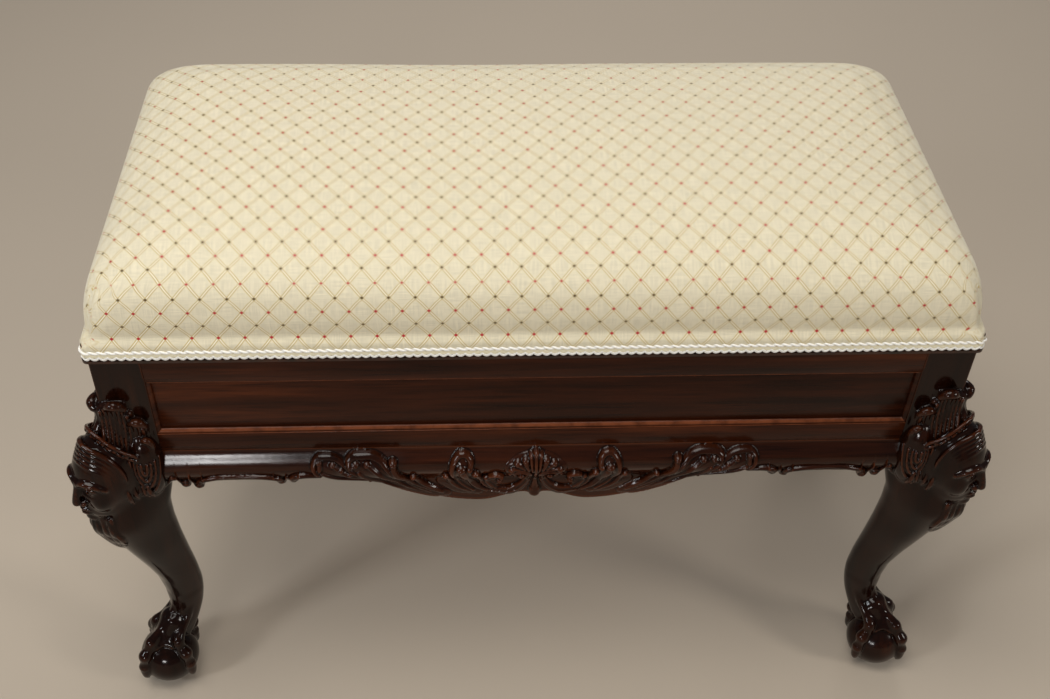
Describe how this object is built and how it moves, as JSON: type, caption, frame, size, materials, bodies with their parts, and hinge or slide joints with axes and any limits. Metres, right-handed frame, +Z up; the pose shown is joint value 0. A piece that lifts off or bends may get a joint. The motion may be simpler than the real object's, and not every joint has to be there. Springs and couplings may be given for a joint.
{
  "type": "duet piano stool",
  "caption": "Box-seat duet piano stool on carved cabriole legs with masks at the knees and claw-and-ball feet, padded lid hinged at the back over a music compartment",
  "frame": {"origin": "on the floor under the middle of the stool", "axes": "+X to the sitters' right along the width, +Y to the back where the lid is hinged, +Z up"},
  "size_m": [0.89, 0.47, 0.592],
  "materials": {
    "mahogany": "dark polished mahogany",
    "secondary_wood": "planed, unpolished",
    "cover_cloth": "woven cream cloth with a fine gold lattice",
    "braid": "cream gimp braid",
    "stuffing": "hair and wadding",
    "webbing": "jute webbing",
    "hessian": "plain hessian",
    "brass": "aged brass",
    "steel": "plain steel"
  },
  "bodies": {
    "case": {"leg_front_left": "mahogany", "leg_front_right": "mahogany", "leg_back_left": "mahogany", "leg_back_right": "mahogany", "top_rail_front": "mahogany", "top_rail_back": "mahogany", "top_rail_left": "mahogany", "top_rail_right": "mahogany", "bottom_rail_front": "mahogany", "bottom_rail_back": "mahogany", "bottom_rail_left": "mahogany", "bottom_rail_right": "mahogany", "panel_front": "mahogany", "panel_back": "mahogany", "panel_left": "mahogany", "panel_right": "mahogany", "bead_front": "mahogany", "bead_back": "mahogany", "bead_left": "mahogany", "bead_right": "mahogany", "apron_front": "mahogany", "apron_back": "mahogany", "apron_left": "mahogany", "apron_right": "mahogany", "bottom_board": "secondary_wood", "ledger_front": "secondary_wood", "ledger_back": "secondary_wood", "ledger_left": "secondary_wood", "ledger_right": "secondary_wood", "board_screws": "brass", "glue_blocks": "secondary_wood", "hinge_left_case_leaf": "brass", "hinge_right_case_leaf": "brass", "hinge_case_screws": "brass", "hinge_left_pin": "steel", "hinge_right_pin": "steel"},
    "lid": {"hinge_left_lid_leaf": "brass", "hinge_right_lid_leaf": "brass", "hinge_lid_screws": "brass", "lid_rail_front": "secondary_wood", "lid_rail_back": "secondary_wood", "lid_rail_left": "secondary_wood", "lid_rail_right": "secondary_wood", "lid_cross_rail": "secondary_wood", "lid_lining": "secondary_wood", "lining_screws": "brass", "webbing_across": "webbing", "webbing_along": "webbing", "hessian": "hessian", "stuffing": "stuffing", "cover": "cover_cloth", "braid": "braid"}
  },
  "joints": [
    {"name": "lid_hinge", "type": "hinge", "parent": "case", "child": "lid", "pos_m": [0, 0.1969, 0.485], "axis": [-1, 0, 0], "range_deg": [0, 110]}
  ]
}
